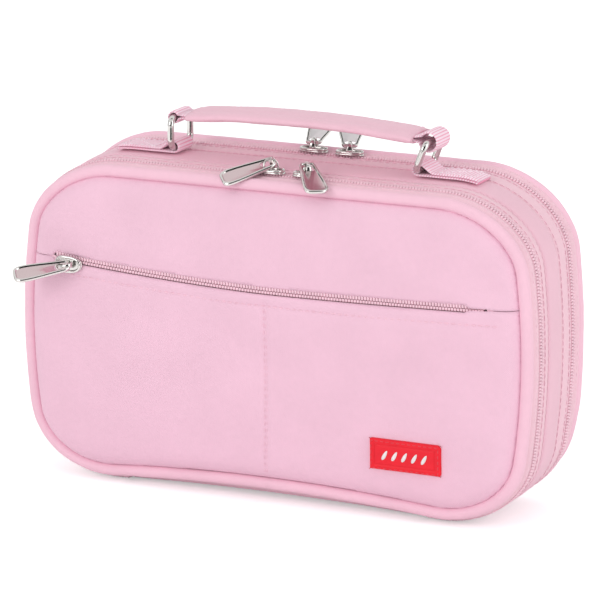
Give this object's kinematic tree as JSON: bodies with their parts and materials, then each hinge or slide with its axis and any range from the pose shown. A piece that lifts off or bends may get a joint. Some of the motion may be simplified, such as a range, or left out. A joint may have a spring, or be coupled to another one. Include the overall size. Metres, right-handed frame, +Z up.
{
  "type": "pencil case",
  "caption": "Soft zipped pencil case with front and rear covers that hinge from the base, a zipped front pocket, pull tabs and a padded strap handle on wire rings.",
  "frame": {"origin": "under the middle of the gusset, on the plane that the case stands on", "axes": "+X to the right seen from the front, -Y out of the front pocket, +Z up through the handle"},
  "size_m": [0.2244, 0.0862, 0.1553],
  "materials": {
    "canvas": "fine woven canvas, matt",
    "piping": "folded canvas bead",
    "zip_tape": "woven zip tape",
    "zip_coil": "nylon coil, low sheen",
    "lining": "plain lining cloth and elastic",
    "foam": null,
    "webbing": "ribbed grosgrain",
    "nickel": "polished nickel plate",
    "patch": "soft moulded red patch",
    "motif": "printed white motif"
  },
  "bodies": {
    "middle": {"gusset_band": "canvas", "gusset_lining": "lining", "gusset_tape_front": "zip_tape", "gusset_tape_rear": "zip_tape", "gusset_coil_front": "zip_coil", "gusset_coil_rear": "zip_coil", "hinge_strip_front_inner": "canvas", "hinge_strip_rear_inner": "canvas", "divider_panel": "lining", "pen_loops": "lining", "net_pocket": "lining", "strap_anchor_left": "webbing", "strap_anchor_right": "webbing"},
    "front_cover": {"front_cover_coil": "zip_coil", "front_cover_tape": "zip_tape", "front_piping": "piping", "hinge_strip_front_outer": "canvas", "front_panel_upper": "canvas", "front_pocket_panel": "canvas", "front_cover_wall": "canvas", "front_cover_board": "foam", "front_cover_lining": "lining", "pocket_tape_upper": "zip_tape", "pocket_tape_lower": "zip_tape", "pocket_coil_upper": "zip_coil", "pocket_coil_lower": "zip_coil", "pocket_stop_left": "zip_coil", "pocket_stop_right": "zip_coil", "label_patch": "patch", "label_motif": "motif"},
    "rear_cover": {"rear_cover_coil": "zip_coil", "rear_cover_tape": "zip_tape", "rear_piping": "piping", "hinge_strip_rear_outer": "canvas", "rear_panel": "canvas", "rear_cover_board": "foam", "rear_cover_lining": "lining"},
    "ring_left": {"ring_left": "nickel"},
    "ring_right": {"ring_right": "nickel"},
    "handle": {"handle_webbing": "webbing", "handle_sleeve": "canvas"},
    "front_zip_left_slider": {"front_zip_left_slider": "nickel"},
    "front_zip_left_tab": {"front_zip_left_tab": "nickel"},
    "front_zip_right_slider": {"front_zip_right_slider": "nickel"},
    "front_zip_right_tab": {"front_zip_right_tab": "nickel"},
    "rear_zip_left_slider": {"rear_zip_left_slider": "nickel"},
    "rear_zip_left_tab": {"rear_zip_left_tab": "nickel"},
    "rear_zip_right_slider": {"rear_zip_right_slider": "nickel"},
    "rear_zip_right_tab": {"rear_zip_right_tab": "nickel"},
    "pocket_zip_slider": {"pocket_zip_slider": "nickel"},
    "pocket_zip_tab": {"pocket_zip_tab": "nickel"}
  },
  "joints": [
    {"name": "front_cover_hinge", "type": "hinge", "parent": "middle", "child": "front_cover", "pos_m": [0, -0.0175, 0], "axis": [1, 0, 0], "range_deg": [0, 150]},
    {"name": "rear_cover_hinge", "type": "hinge", "parent": "middle", "child": "rear_cover", "pos_m": [0, 0.0175, 0], "axis": [-1, 0, 0], "range_deg": [0, 150]},
    {"name": "front_zip_left_slide", "type": "slide", "parent": "front_cover", "child": "front_zip_left_slider", "axis": [-1, 0, 0], "range_m": [0, 0.058]},
    {"name": "front_zip_left_tab_pivot", "type": "hinge", "parent": "front_zip_left_slider", "child": "front_zip_left_tab", "pos_m": [-0.004, -0.0175, 0.1381], "axis": [-0.5593, 0.829, 0], "range_deg": [0, 105]},
    {"name": "front_zip_right_slide", "type": "slide", "parent": "front_cover", "child": "front_zip_right_slider", "axis": [1, 0, 0], "range_m": [0, 0.05]},
    {"name": "front_zip_right_tab_pivot", "type": "hinge", "parent": "front_zip_right_slider", "child": "front_zip_right_tab", "pos_m": [0.012, -0.0175, 0.1381], "axis": [-0.8083, -0.5888, 0], "range_deg": [0, 105]},
    {"name": "rear_zip_left_slide", "type": "slide", "parent": "rear_cover", "child": "rear_zip_left_slider", "axis": [-1, 0, 0], "range_m": [0, 0.06]},
    {"name": "rear_zip_left_tab_pivot", "type": "hinge", "parent": "rear_zip_left_slider", "child": "rear_zip_left_tab", "pos_m": [-0.001, 0.0175, 0.1407], "axis": [0.9696, 0.2449, 0], "range_deg": [0, 90]},
    {"name": "rear_zip_right_slide", "type": "slide", "parent": "rear_cover", "child": "rear_zip_right_slider", "axis": [1, 0, 0], "range_m": [0, 0.046]},
    {"name": "rear_zip_right_tab_pivot", "type": "hinge", "parent": "rear_zip_right_slider", "child": "rear_zip_right_tab", "pos_m": [0.015, 0.0175, 0.1407], "axis": [0.927, 0.375, 0], "range_deg": [0, 90]},
    {"name": "pocket_zip_slide", "type": "slide", "parent": "front_cover", "child": "pocket_zip_slider", "axis": [1, 0, 0], "range_m": [0, 0.1748]},
    {"name": "pocket_zip_tab_pivot", "type": "hinge", "parent": "pocket_zip_slider", "child": "pocket_zip_tab", "pos_m": [-0.0874, -0.0358, 0.0915], "axis": [-0.1961, 0, 0.9806], "range_deg": [-22, 110]},
    {"name": "ring_left_hinge", "type": "hinge", "parent": "middle", "child": "ring_left", "pos_m": [-0.0524, 0, 0.13832], "axis": [0, 1, 0], "range_deg": [-55, 30]},
    {"name": "ring_right_hinge", "type": "hinge", "parent": "middle", "child": "ring_right", "pos_m": [0.0548, 0, 0.13832], "axis": [0, 1, 0], "range_deg": [-55, 30]},
    {"name": "handle_pivot", "type": "hinge", "parent": "ring_left", "child": "handle", "pos_m": [-0.0524, 0, 0.15052], "axis": [0, 1, 0], "range_deg": [-30, 54]}
  ],
  "couplings": [
    {"joint": "ring_right_hinge", "follows": "ring_left_hinge", "ratio": 0.983},
    {"joint": "handle_pivot", "follows": "ring_left_hinge", "ratio": -0.965}
  ]
}
